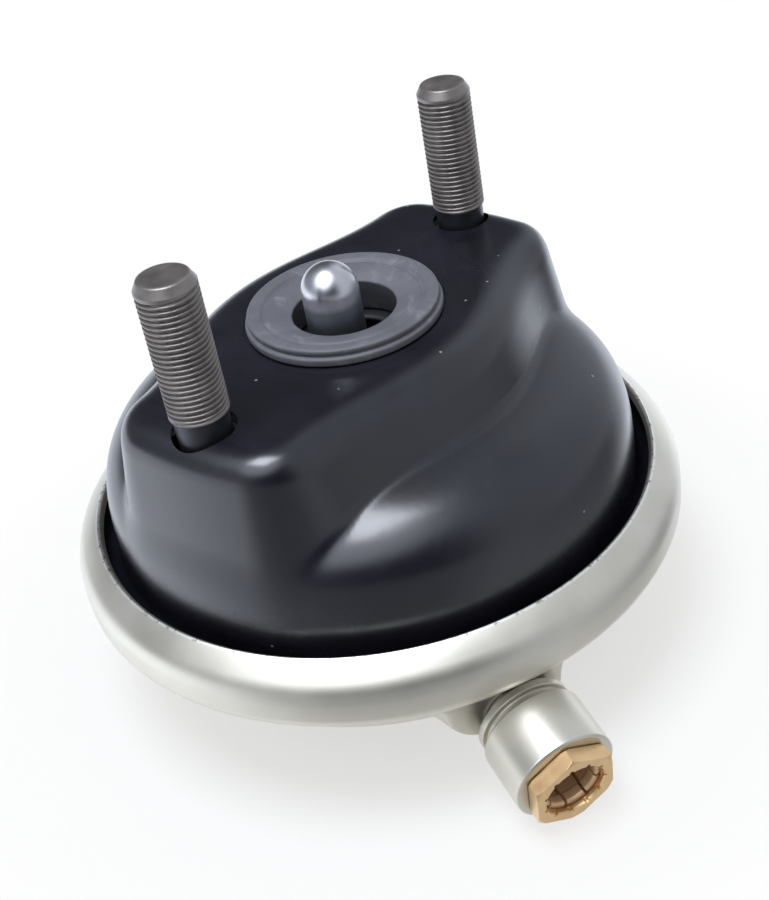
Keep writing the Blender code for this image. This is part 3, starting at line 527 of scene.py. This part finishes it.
def buildCover(c=cover):
    # lip, bead and dish turned round the axis; by the port the wall is drawn out to the pad's flat front
    lip = []
    for centre, bend, fromAngle, toAngle in c["lip"]:
        turn = np.radians(np.linspace(fromAngle, toAngle, 9))
        lip.append(np.array(centre) + bend * np.column_stack([np.cos(turn), np.sin(turn)]))
    turn = np.radians(np.linspace(*c["beadAngles"], 14))
    beadCentre = np.array([c["rimRadius"] - c["rimBend"], c["rimZ"] - c["beadDrop"]])
    bead = beadCentre + c["rimBend"] * np.column_stack([np.cos(turn), np.sin(turn)])
    upper = np.vstack([*lip, bead])
    dish = softProfile([tuple(bead[-1]), *c["dish"]], c["dishSoften"], 7)
    length = np.concatenate([[0], np.cumsum(np.linalg.norm(np.diff(dish, axis=0), axis=1))])
    wide = length[np.argmin(np.abs(dish[:, 0] - c["fineTo"]))]
    stations = np.concatenate([np.linspace(0, wide, c["fineRows"])[1:],
                               np.linspace(wide, length[-1], c["coarseRows"])[1:]])
    lower = np.column_stack([np.interp(stations, length, dish[:, 0]),
                             np.interp(stations, length, dish[:, 1])])
    outline = np.vstack([upper, lower])
    # the columns' bearings, read from a running total of how dense they are
    fine = np.linspace(-math.pi, math.pi, 2001)
    density = 1 + c["padColumns"] * np.exp(-((fine / math.radians(c["padSpread"])) ** 4))
    total = np.concatenate([[0], np.cumsum((density[1:] + density[:-1]) / 2)])
    angles = portBearing + np.interp(np.linspace(0, total[-1], c["columns"], endpoint=False), total, fine)
    outer = turnedSurface(outline, angles=angles)
    local = (outer - portCentre) @ portAxes.T
    side, up, depth = local[..., 0], local[..., 1], local[..., 2]
    # distance outside the pad's outline: straight sides and top, and two round lower corners
    outside = np.maximum.reduce([c["padLeft"] - side, side - c["padRight"], c["padBottom"] - up,
                                 up - c["padTop"]])
    for edge, radius, turn in ((c["padLeft"], c["padLowLeft"], -1), (c["padRight"], c["padLowRight"], 1)):
        fromSide = (side - (edge - turn * radius)) * turn
        fromBottom = c["padBottom"] + radius - up
        corner = (fromSide > 0) & (fromBottom > 0)
        outside = np.where(corner, np.maximum(outside, np.hypot(fromSide, fromBottom) - radius), outside)
    share = np.clip(-outside / c["padWall"], 0, 1)
    share = share * share * (3 - 2 * share) * (depth > c["padReach"])
    local[..., 2] = depth + share * np.clip(c["padFront"] - depth, 0, None)
    outer = local @ portAxes + portCentre
    innerLine = offsetLine(outline, c["sheet"])
    crown = (outline[0] + innerLine[0]) / 2 + (0.0, c["lipBulge"])
    edge = softProfile([outline[0], crown, innerLine[0]], 0.8, 5)[1:-1]
    inner = turnedSurface(innerLine, angles=angles)
    edgeRows = turnedSurface(edge, angles=angles)
    shell = gridMesh("coverShell", np.vstack([inner[::-1], edgeRows[::-1], outer]), sharpAngle=38)
    bore = [(0, 20), (c["boreRadius"], 20), (c["boreRadius"], c["boreDepth"]), (0, c["boreDepth"])]
    cutWith(shell, turnedPiece("boreCutter", bore, 64, centre=portCentre, axes=portAxes))
    weldAndShade(shell, 38)
    place(shell, "chamber", "silver_paint", silverLacquer, "cover")


buildCover()
print("cover made")


# Studs with a rolled thread

stud = {
    "pitch": 1.5, "depth": 0.85, "outer": 7.95, "core": 7.25, "top": 44.7, "threadEnd": 5.5,
    "chamferHeight": 2.7, "chamfer": 1.5, "threadStart": 3.4,
    "headRadius": 8.7, "headTop": -9.6, "headHeight": 6.4,
    "grooveWidth": 1.25, "grooveSlope": 3.2, "runoutFrom": 0.2, "runout": 1.2,
    "rowStep": 0.125, "columns": 72,
}


def buildStud(name, node, side, s=stud):
    # radius = the shank's less a groove that climbs one pitch each turn and fades out at both ends
    z = np.arange(s["threadEnd"], s["top"] - 2 * s["rowStep"], s["rowStep"])[::-1]
    angles = np.linspace(0, 2 * math.pi, s["columns"], endpoint=False)
    phase = (z[:, None] / s["pitch"] - angles[None] / (2 * math.pi)) % 1.0
    groove = np.clip(s["grooveWidth"] - np.abs(phase - 0.5) * s["grooveSlope"], 0, 1) * s["depth"]
    fromTop = s["top"] - z
    limit = s["outer"] - s["chamfer"] * np.clip(1 - fromTop / s["chamferHeight"], 0, 1)
    fade = np.clip((z - s["threadEnd"] - s["runoutFrom"]) / s["runout"], 0, 1)
    fade = fade * np.clip(fromTop - s["threadStart"], 0, 1)
    radius = np.minimum(limit[:, None], s["outer"] - groove * fade[:, None])
    topRing = s["outer"] - s["chamfer"]
    crown = np.array([(0, s["top"]), (topRing - 2.4, s["top"]),
                      (topRing - 1.0, s["top"] - 0.04), (topRing - 0.35, s["top"] - 0.12)])
    headEnd = s["headTop"] - s["headHeight"]
    low = softProfile([
        (s["outer"], s["threadEnd"]), (s["core"], s["threadEnd"] - 0.7), (s["core"], s["headTop"]),
        (s["headRadius"], s["headTop"]), (s["headRadius"], headEnd + 1), (s["headRadius"] - 1, headEnd),
        (0, headEnd),
    ], 0.25, 4)[1:]
    plainRows = [np.repeat(rows[:, :1], s["columns"], axis=1) for rows in (crown, low)]
    radius = np.vstack([plainRows[0], radius, plainRows[1]])
    height = np.concatenate([crown[:, 1], z, low[:, 1]])
    points = np.stack([radius * np.cos(angles) + side * housing["studPitch"] / 2, radius * np.sin(angles),
                       np.repeat(height[:, None], s["columns"], axis=1)], axis=-1)
    piece = gridMesh(name, points, sharpAngle=50)
    place(piece, "chamber", "phosphated_steel", phosphatedSteel, node)


buildStud("threadedStudLeft", "stud_left", -1)
buildStud("threadedStudRight", "stud_right", 1)
print("studs made")


# Push rod

rod = {"x": -4.3, "radius": 8.07, "tip": 18.0, "footZ": -92.9, "footRadius": 12.0}


def buildRod(r=rod):
    # a turned profile: half-round tip, straight shank and a small foot in the piston plate
    angle = np.radians(np.linspace(90, 0, 24))
    dome = np.column_stack([r["radius"] * np.cos(angle),
                            r["tip"] - r["radius"] + r["radius"] * np.sin(angle)])
    foot = softProfile([tuple(dome[-1]), (r["radius"], r["footZ"] + 4), (r["footRadius"], r["footZ"] + 2.2),
                        (r["footRadius"], r["footZ"]), (0, r["footZ"])], 0.6, 5)
    piece = turnedPiece("pushRod", np.vstack([dome, foot[1:]]), 112, centre=(r["x"], 0, 0))
    place(piece, "rod", "bright_steel", rodSteel, "push_rod")


buildRod()


# Moulded seal ring

sealRing = {
    "profile": [(26.5, 4.6), (27.4, 4.2), (27.4, 3.1), (26.8, 2.5), (28.2, 2.0), (28.2, -0.1), (22.4, -0.1),
                (22.4, -9.1), (17.2, -9.1), (15.6, -2.0), (14.8, 1.6), (18.0, 2.9), (21.8, 3.8),
                (22.7, 3.2), (23.8, 4.3)],
    "soften": 0.6,
}
ring = softProfile(sealRing["profile"], sealRing["soften"], 6, closed=True)
piece = turnedPiece("sealRing", ring, 200, closed=True)
place(piece, "chamber", "grey_rubber", greyRubber, "seal_ring")
print("rod and seal ring made")


# Air port

portPieces = {
    "boss": [(14.44, 25.1), (14.94, 24.6), (14.94, 8.0), (14.34, 7.4), (12.4, 7.4), (12.4, 5.0),
             (13.8, 4.8), (13.8, 2.5), (9.7, 2.3), (9.7, -1.0), (6.0, -1.0), (6.0, 9.0),
             (8.4, 9.0), (8.4, 12.6), (10.8, 12.6), (10.8, 25.1)],
    "threadSeal": [(11.0, 2.1), (11.3, 1.4), (11.0, 0.7), (10.2, 0.7), (9.95, 1.4), (10.2, 2.1)],
    "supportRing": [(10.5, 14.9), (10.5, 12.9), (8.4, 12.9), (8.4, 14.9)],
    "tubeSeal": [(9.8, 17.8), (10.5, 16.5), (9.8, 15.2), (9.0, 15.2), (8.3, 16.5), (9.0, 17.8)],
}


def portPiece(name, profile, soften, slot, material, node, columns=120):
    ring = softProfile(profile, soften, 5, closed=True)
    piece = turnedPiece(name, ring, columns, True, portCentre, portAxes)
    place(piece, "chamber", slot, material, node)


portPiece("portBoss", portPieces["boss"], 0.3, "silver_paint", silverLacquer, "port_boss", 160)
portPiece("portThreadSeal", portPieces["threadSeal"], 0.4, "black_rubber", blackRubber, "port_thread_seal")
portPiece("portSupportRing", portPieces["supportRing"], 0.2, "white_plastic", whiteAcetal,
          "port_support_ring")
portPiece("portTubeSeal", portPieces["tubeSeal"], 0.5, "black_rubber", blackRubber, "port_tube_seal")


# Brass insert with its hexagon

insert = {
    "cornerRadius": 13.2, "front": 30.0, "back": 25.4, "turn": 33.0,
    "chamferRadius": 12.2, "chamferSlope": 1.7, "backEase": 0.4, "angleStep": 0.75,
    "notches": 11, "notchDepth": 0.75, "notchEnd": 28.5, "notchFrom": 0.72, "notchOver": 0.12,
    "sleeveRadius": 10.5, "sleeveEnd": 18.1,
    "bore": [(9.0, 30.0), (8.7, 29.5), (8.6, 28.6), (8.6, 28.4), (9.6, 28.3), (9.6, 18.1)],
}


def buildInsert(n=insert):
    # a turned profile clipped to a hexagon: radius = flat distance / cos(angle from the flat)
    angles = np.radians(np.arange(0, 360, n["angleStep"]))
    flat = n["cornerRadius"] * math.cos(math.pi / 6)
    offset = (angles - math.radians(n["turn"])) % (math.pi / 3) - math.pi / 6
    hexagon = flat / np.cos(offset)
    depth = np.array([0.0, 0.12, 0.25, 0.4, 0.6, 0.9, 1.5, 3.2, 4.0, 4.3, 4.45, 4.6])
    cone = n["chamferRadius"] + depth * n["chamferSlope"]
    backCone = n["chamferRadius"] + n["backEase"] + (n["front"] - n["back"] - depth) * n["chamferSlope"]
    outsideR = np.minimum(hexagon[None], np.minimum(cone, backCone)[:, None])
    outsideS = n["front"] - depth
    bore = softProfile(n["bore"], 0.15, 3)[::-1]
    sleeve = softProfile([(n["sleeveRadius"], n["back"]), (n["sleeveRadius"], n["sleeveEnd"] + 0.3),
                          (n["sleeveRadius"] - 0.3, n["sleeveEnd"])], 0.1, 3)
    # small gaps round the mouth
    notch = np.clip((np.cos(angles * n["notches"]) - n["notchFrom"]) / n["notchOver"], 0, 1)
    notch = notch * n["notchDepth"]
    boreR = bore[:, :1] + notch[None] * (bore[:, 1:] > n["notchEnd"])
    rows = np.vstack([boreR, outsideR, np.repeat(sleeve[:, :1], len(angles), axis=1)])
    heights = np.concatenate([bore[:, 1], outsideS, sleeve[:, 1]])
    local = np.stack([rows * np.cos(angles), rows * np.sin(angles),
                      np.repeat(heights[:, None], len(angles), axis=1)], axis=-1)
    piece = gridMesh("brassInsert", local @ portAxes + portCentre, alongClosed=True, sharpAngle=24)
    place(piece, "chamber", "brass", brightBrass, "port_insert")


buildInsert()


# Collet: a ring of sprung fingers behind the insert's mouth

collet = {
    "fingers": 8, "fingerShare": 0.86, "turn": 10.0,
    "profile": [(9.2, 27.9), (9.2, 18.5), (8.4, 18.5), (8.1, 24.2), (7.3, 25.0), (7.3, 27.2), (7.7, 27.9)],
}


def buildCollet(c=collet):
    # each finger is the closed profile swept over part of a turn, its two ends drawn together into caps
    loop = softProfile(c["profile"], 0.15, 3, closed=True)
    middle = loop.mean(axis=0)
    sweep = np.linspace(-0.5, 0.5, 9) * c["fingerShare"] * 2 * math.pi / c["fingers"]
    sweep = np.concatenate([sweep[:1], sweep, sweep[-1:]])
    shrink = np.ones(len(sweep))
    shrink[[0, -1]] = 0
    section = middle + (loop[:, None] - middle) * shrink[None, :, None]
    starts = math.radians(c["turn"]) + np.arange(c["fingers"]) * 2 * math.pi / c["fingers"]
    parts = []
    for start in starts:
        local = np.stack([section[..., 0] * np.cos(start + sweep), section[..., 0] * np.sin(start + sweep),
                          section[..., 1]], axis=-1)
        parts.append(gridMesh("finger", local @ portAxes + portCentre, aroundClosed=False, alongClosed=True,
                              sharpAngle=30))
    shape = bmesh.new()
    for part in parts:
        shape.from_mesh(part.data)
        bpy.data.objects.remove(part, do_unlink=True)
    mesh = bpy.data.meshes.new("colletFingers")
    shape.to_mesh(mesh)
    shape.free()
    piece = bpy.data.objects.new("colletFingers", mesh)
    scene.collection.objects.link(piece)
    mesh.shade_smooth()
    mesh.set_sharp_from_angle(angle=math.radians(30))
    place(piece, "chamber", "dark_brass", dullBrass, "port_collet")


buildCollet()
print("air port made")


# Breather plug on the far side

breather = {
    "seatRadius": 79.0,
    "profile": [(1.5, 2.4), (4.8, 2.4), (6.4, 1.6), (6.4, 0.0), (4.2, 0.0), (4.2, -6.5), (1.5, -6.5)],
}
piece = turnedPiece("breatherPlug", softProfile(breather["profile"], 0.5, 5, closed=True), 64, True,
                    (0, breather["seatRadius"], housing["breatherZ"]), towardsBack)
place(piece, "chamber", "black_plastic", blackNylon, "breather_plug")


# Return spring: a conical coil

returnSpring = {
    "wire": 2.0, "topRadius": 28.0, "bottomRadius": 40.0, "turns": 5.5, "top": -17.6, "bottom": -90.9,
    "closedPitch": 4.6, "steps": 360, "sides": 14,
}


def squashWithRod(piece):
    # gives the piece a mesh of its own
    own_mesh(piece)


def buildSpring(s=returnSpring):
    # a circle of wire carried along a cone's helix, with a closed turn at each end
    turn = np.linspace(0, s["turns"], s["steps"])
    share = turn / s["turns"]
    radius = s["topRadius"] + (s["bottomRadius"] - s["topRadius"]) * share
    stations = [0, 1, s["turns"] - 1, s["turns"]]
    levels = [s["top"], s["top"] - s["closedPitch"], s["bottom"] + s["closedPitch"] * 0.2, s["bottom"]]
    height = np.interp(turn, stations, levels)
    angle = 2 * math.pi * turn
    centre = np.column_stack([rod["x"] * share + radius * np.cos(angle), radius * np.sin(angle), height])
    outward = np.column_stack([np.cos(angle), np.sin(angle), np.zeros(len(angle))])
    section = np.linspace(0, 2 * math.pi, s["sides"], endpoint=False)
    thickness = np.full(len(turn), s["wire"])
    thickness[[0, -1]] = 0
    around = outward[:, None] * np.cos(section)[None, :, None]
    around = around + np.array([0, 0, 1.0]) * np.sin(section)[None, :, None]
    piece = gridMesh("coiledSpring", centre[:, None] + around * thickness[:, None, None], sharpAngle=50)
    place(piece, "chamber", "spring_steel", springSteel, "return_spring")
    squashWithRod(piece)


buildSpring()


# Rubber gaiter: folds that gather under the stud plate; its axis leans over to meet the rod

gaiter = {
    "collarTop": -9.6, "collarBottom": -11.6, "cuffTop": -71.0, "cuffBottom": -80.0, "folds": 5,
    "crest": 21.0, "root": 12.8, "sheet": 1.5, "leanEnd": -41.0,
    "collarRadius": 30.5, "cuffRadius": 11.0, "cuffInner": 8.4,
}


def buildGaiter(g=gaiter):
    # a turned zigzag of even folds; the outer wall lies one sheet outside the inner one
    pitch = (g["collarBottom"] - g["cuffTop"]) / g["folds"]
    crests = [g["collarBottom"] - (i + 0.5) * pitch for i in range(g["folds"])]
    roots = [g["collarBottom"] - (i + 1) * pitch for i in range(g["folds"] - 1)]
    heights = sorted(crests + roots, reverse=True)
    inner = [(g["root"] if z in roots else g["crest"] - g["sheet"], z) for z in heights]
    outer = [(radius + g["sheet"], z) for radius, z in inner]
    profile = [
        (g["collarRadius"], g["collarTop"]), (g["collarRadius"], g["collarBottom"]),
        (16.0, g["collarBottom"]), *outer,
        (g["cuffRadius"], g["cuffTop"]), (g["cuffRadius"], g["cuffBottom"]),
        (g["cuffInner"], g["cuffBottom"]), (g["cuffInner"], g["cuffTop"] + 1.2), *reversed(inner),
        (13.4, g["collarTop"] - 1.0), (14.0, g["collarTop"]),
    ]
    surface = turnedSurface(softProfile(profile, 1.2, 5, closed=True), 96)
    lean = np.clip((g["collarBottom"] - surface[..., 2]) / (g["collarBottom"] - g["leanEnd"]), 0, 1)
    surface[..., 0] += rod["x"] * lean
    piece = gridMesh("rubberGaiter", surface, alongClosed=True, sharpAngle=50)
    place(piece, "chamber", "black_rubber", blackRubber, "rod_gaiter")
    squashWithRod(piece)


buildGaiter()


# Diaphragm: a clamped bead at its edge, its middle lying one lift over the cover's dish

diaphragm = {
    "sheet": 1.9, "lift": 3.1, "stays": -82.0, "follows": -90.5,
    "bead": [(80.8, -69.2), (81.4, -65.4), (87.6, -65.4), (88.2, -66.2), (88.2, -67.6), (86.9, -69.3),
             (84.5, -69.6), (82.6, -70.6)],
}


def buildDiaphragm(d=diaphragm):
    # the cover's dish moved in by the lift, thickened by the sheet, with the clamped bead as its edge
    dish = softProfile(cover["dish"], cover["dishSoften"], 9)[1:]
    under = offsetLine(dish, d["lift"])
    over = offsetLine(dish, d["lift"] + d["sheet"])
    section = np.vstack([over[::-1], softProfile(d["bead"], 0.5, 4), under])
    piece = turnedPiece("clampedDiaphragm", section, 144)
    piece.data.materials.append(blackRubber)
    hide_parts("diaphragm")
    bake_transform(piece)


buildDiaphragm()
print("spring, gaiter and diaphragm made")


# Hidden CAD nodes that keep their shape get their finish

pressedNodes = ("piston_plate", "gaiter_band", "stud_plate", "gaiter_clamp_ring", "spring_seat")
for node in pressedNodes:
    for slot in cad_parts[node].material_slots:
        slot.material = pressedSteel
print("hidden nodes finished")


# Camera at the photograph's view, solved from its ellipses and studs

view = {
    "turn": (1.88353929, -1.11346782, 0.450391244), "place": (-0.26118, -0.24009, 0.20160),
    "focalPixels": 1434.849, "centrePixel": (480.02, 384.99), "framePixels": (769, 900), "sensorHeight": 36,
}


def buildCamera(v=view):
    turn = Vector(v["turn"])
    look = Matrix.Rotation(turn.length, 3, turn.normalized())
    camera = bpy.data.cameras.new("camera")
    holder = bpy.data.objects.new("camera", camera)
    scene.collection.objects.link(holder)
    matrix = Matrix.Identity(4)
    for i in range(3):
        matrix[i] = (look[0][i], -look[1][i], -look[2][i], v["place"][i])
    holder.matrix_world = matrix
    wide, high = v["framePixels"]
    camera.sensor_fit = "VERTICAL"
    camera.sensor_height = v["sensorHeight"]
    camera.lens = v["focalPixels"] * v["sensorHeight"] / high
    camera.shift_x = -(v["centrePixel"][0] - wide / 2) / high
    camera.shift_y = (v["centrePixel"][1] - high / 2) / high
    camera.clip_start = 0.01
    scene.camera = holder


buildCamera()


# Floor, world and lamps

studio = {
    "floorZ": -0.1087, "floorRadius": 0.45, "floorSides": 96, "floorFade": (0.12, 0.20),
    "floorColour": "#f2f2f0", "floorGlow": 0.55,
    "plainLight": 0.42, "roomLight": 4.0, "roomTint": (0.93, 0.99, 1.10),
    # (bearing in degrees, level): dark where the photographer stands, brighter to the sides
    "walls": [(-180, 0.45), (-170, 0.22), (-150, 0.07), (-130, 0.02), (-114, 0.08), (-95, 0.65), (-50, 0.7),
              (-25, 0.7), (-5, 0.85), (12, 0.75), (35, 0.08), (75, 0.15), (105, 0.38), (125, 0.30),
              (148, 0.55), (165, 0.6), (180, 0.45)],
    "table": [(-180, 0.5), (-150, 0.35), (-120, 0.40), (-95, 0.7), (-60, 0.5), (-28, 0.3), (2, 1.9),
              (20, 1.3), (90, 1.45), (130, 1.9), (150, 1.5), (180, 0.5)],
    "tableEdge": (0.06, -0.08), "ceiling": 0.42, "ceilingEdge": (0.77, 0.93),  # heights of a direction
    # the window's bearing and elevation, and its soft edge from low to full, in degrees
    "window": 2.6, "windowWay": (-176.0, 60.0), "windowEdge": (42.0, 14.0),
    "lampColour": (0.87, 0.91, 1.0), "lampPlace": (-0.225, 0.010, 0.975), "lampAim": (0, 0, -0.03),
    "lampSize": 0.5, "lampPower": 8.2,
}


def buildStudio(s=studio):
    mesh = bpy.data.meshes.new("floor")
    angle = np.linspace(0, 2 * math.pi, s["floorSides"], endpoint=False)
    rim = np.column_stack([np.cos(angle) * s["floorRadius"], np.sin(angle) * s["floorRadius"],
                           np.full(len(angle), s["floorZ"])])
    mesh.from_pydata(rim.tolist(), [], [list(range(len(angle)))])
    floor = bpy.data.objects.new("floor", mesh)
    scene.collection.objects.link(floor)
    material, tree, shader, spot = newMaterial("pale floor", Roughness=0.8)
    shader.inputs["Base Color"].default_value = colour(s["floorColour"])
    distance = addNode(tree, "ShaderNodeVectorMath", {0: spot}, operation="LENGTH").outputs["Value"]
    near, far = s["floorFade"]
    fade = addNode(tree, "ShaderNodeMapRange",
                   {"Value": distance, "From Min": near, "From Max": far}).outputs[0]
    ray = addNode(tree, "ShaderNodeLightPath").outputs
    seen = addNode(tree, "ShaderNodeMath", {0: ray["Is Glossy Ray"], 1: ray["Is Transmission Ray"]},
                   operation="MAXIMUM").outputs[0]
    seen = addNode(tree, "ShaderNodeMath", {0: seen, 1: ray["Is Camera Ray"]},
                   operation="MAXIMUM").outputs[0]
    share = addNode(tree, "ShaderNodeMath", {0: seen, 1: s["floorGlow"]}, operation="MULTIPLY").outputs[0]
    white = addNode(tree, "ShaderNodeEmission", {"Color": (1, 1, 1, 1), "Strength": 1.0})
    pale = addNode(tree, "ShaderNodeMixShader", {0: share, 1: shader.outputs[0], 2: white.outputs[0]})
    clear = addNode(tree, "ShaderNodeBsdfTransparent")
    mix = addNode(tree, "ShaderNodeMixShader", {0: fade, 1: pale.outputs[0], 2: clear.outputs[0]})
    tree.links.new(mix.outputs[0], tree.nodes["Material Output"].inputs["Surface"])
    mesh.materials.append(material)
    world = bpy.data.worlds.new("studio")
    scene.world = world
    world.use_nodes = True
    tree = world.node_tree
    direction = addNode(tree, "ShaderNodeTexCoord").outputs["Generated"]
    along = addNode(tree, "ShaderNodeSeparateXYZ", {"Vector": direction}).outputs
    bearing = addNode(tree, "ShaderNodeMath", {0: along["Y"], 1: along["X"]},
                      operation="ARCTAN2").outputs[0]
    turn = addNode(tree, "ShaderNodeMapRange",
                   {"Value": bearing, "From Min": -math.pi, "From Max": math.pi}).outputs[0]
    walls, table = (rampOf(tree, turn,
                           [((degrees + 180) / 360, level / s["roomLight"]) for degrees, level in s[key]])
                    for key in ("walls", "table"))
    room = walls
    for (low, high), level in ((s["tableEdge"], table),
                               (s["ceilingEdge"], (s["ceiling"] / s["roomLight"],) * 3 + (1,))):
        share = addNode(tree, "ShaderNodeMapRange",
                        {"Value": along["Z"], "From Min": low, "From Max": high}).outputs[0]
        room = addNode(tree, "ShaderNodeMix", {"Factor": share, "A": room, "B": level},
                       data_type="RGBA").outputs["Result"]
    aim, lift = (math.radians(angle) for angle in s["windowWay"])
    aim = (math.cos(aim) * math.cos(lift), math.sin(aim) * math.cos(lift), math.sin(lift))
    toWindow = addNode(tree, "ShaderNodeVectorMath", {0: direction, 1: aim},
                       operation="DOT_PRODUCT").outputs["Value"]
    low, high = (math.cos(math.radians(angle)) for angle in s["windowEdge"])
    share = addNode(tree, "ShaderNodeMapRange", {"Value": toWindow, "From Min": low, "From Max": high},
                    interpolation_type="SMOOTHSTEP")
    grey = (s["window"] / s["roomLight"],) * 3 + (1,)
    room = addNode(tree, "ShaderNodeMix", {"Factor": share.outputs[0], "A": room, "B": grey},
                   data_type="RGBA").outputs["Result"]
    room = addNode(tree, "ShaderNodeMix", {"Factor": 1.0, "A": room, "B": (*s["roomTint"], 1)},
                   data_type="RGBA", blend_type="MULTIPLY")
    plain = tree.nodes["Background"]
    plain.inputs["Color"].default_value = (1, 1, 1, 1)
    plain.inputs["Strength"].default_value = s["plainLight"]
    mirrored = addNode(tree, "ShaderNodeBackground",
                       {"Color": room.outputs["Result"], "Strength": s["roomLight"]})
    white = addNode(tree, "ShaderNodeBackground", {"Color": (1, 1, 1, 1), "Strength": 1.0})
    ray = addNode(tree, "ShaderNodeLightPath").outputs
    glossy = addNode(tree, "ShaderNodeMath", {0: ray["Is Glossy Ray"], 1: ray["Is Transmission Ray"]},
                     operation="MAXIMUM").outputs[0]
    light = addNode(tree, "ShaderNodeMixShader", {0: glossy, 1: plain.outputs[0], 2: mirrored.outputs[0]})
    mix = addNode(tree, "ShaderNodeMixShader",
                  {0: ray["Is Camera Ray"], 1: light.outputs[0], 2: white.outputs[0]})
    tree.links.new(mix.outputs[0], tree.nodes["World Output"].inputs["Surface"])
    lamp = bpy.data.lights.new("softLamp", "AREA")
    lamp.shape = "SQUARE"
    lamp.size = s["lampSize"]
    lamp.energy = s["lampPower"]
    lamp.color = s["lampColour"]
    holder = bpy.data.objects.new("softLamp", lamp)
    holder.location = s["lampPlace"]
    aim = Vector(s["lampAim"]) - Vector(s["lampPlace"])
    holder.rotation_euler = aim.to_track_quat("-Z", "Y").to_euler()
    scene.collection.objects.link(holder)


buildStudio()
print("studio made")
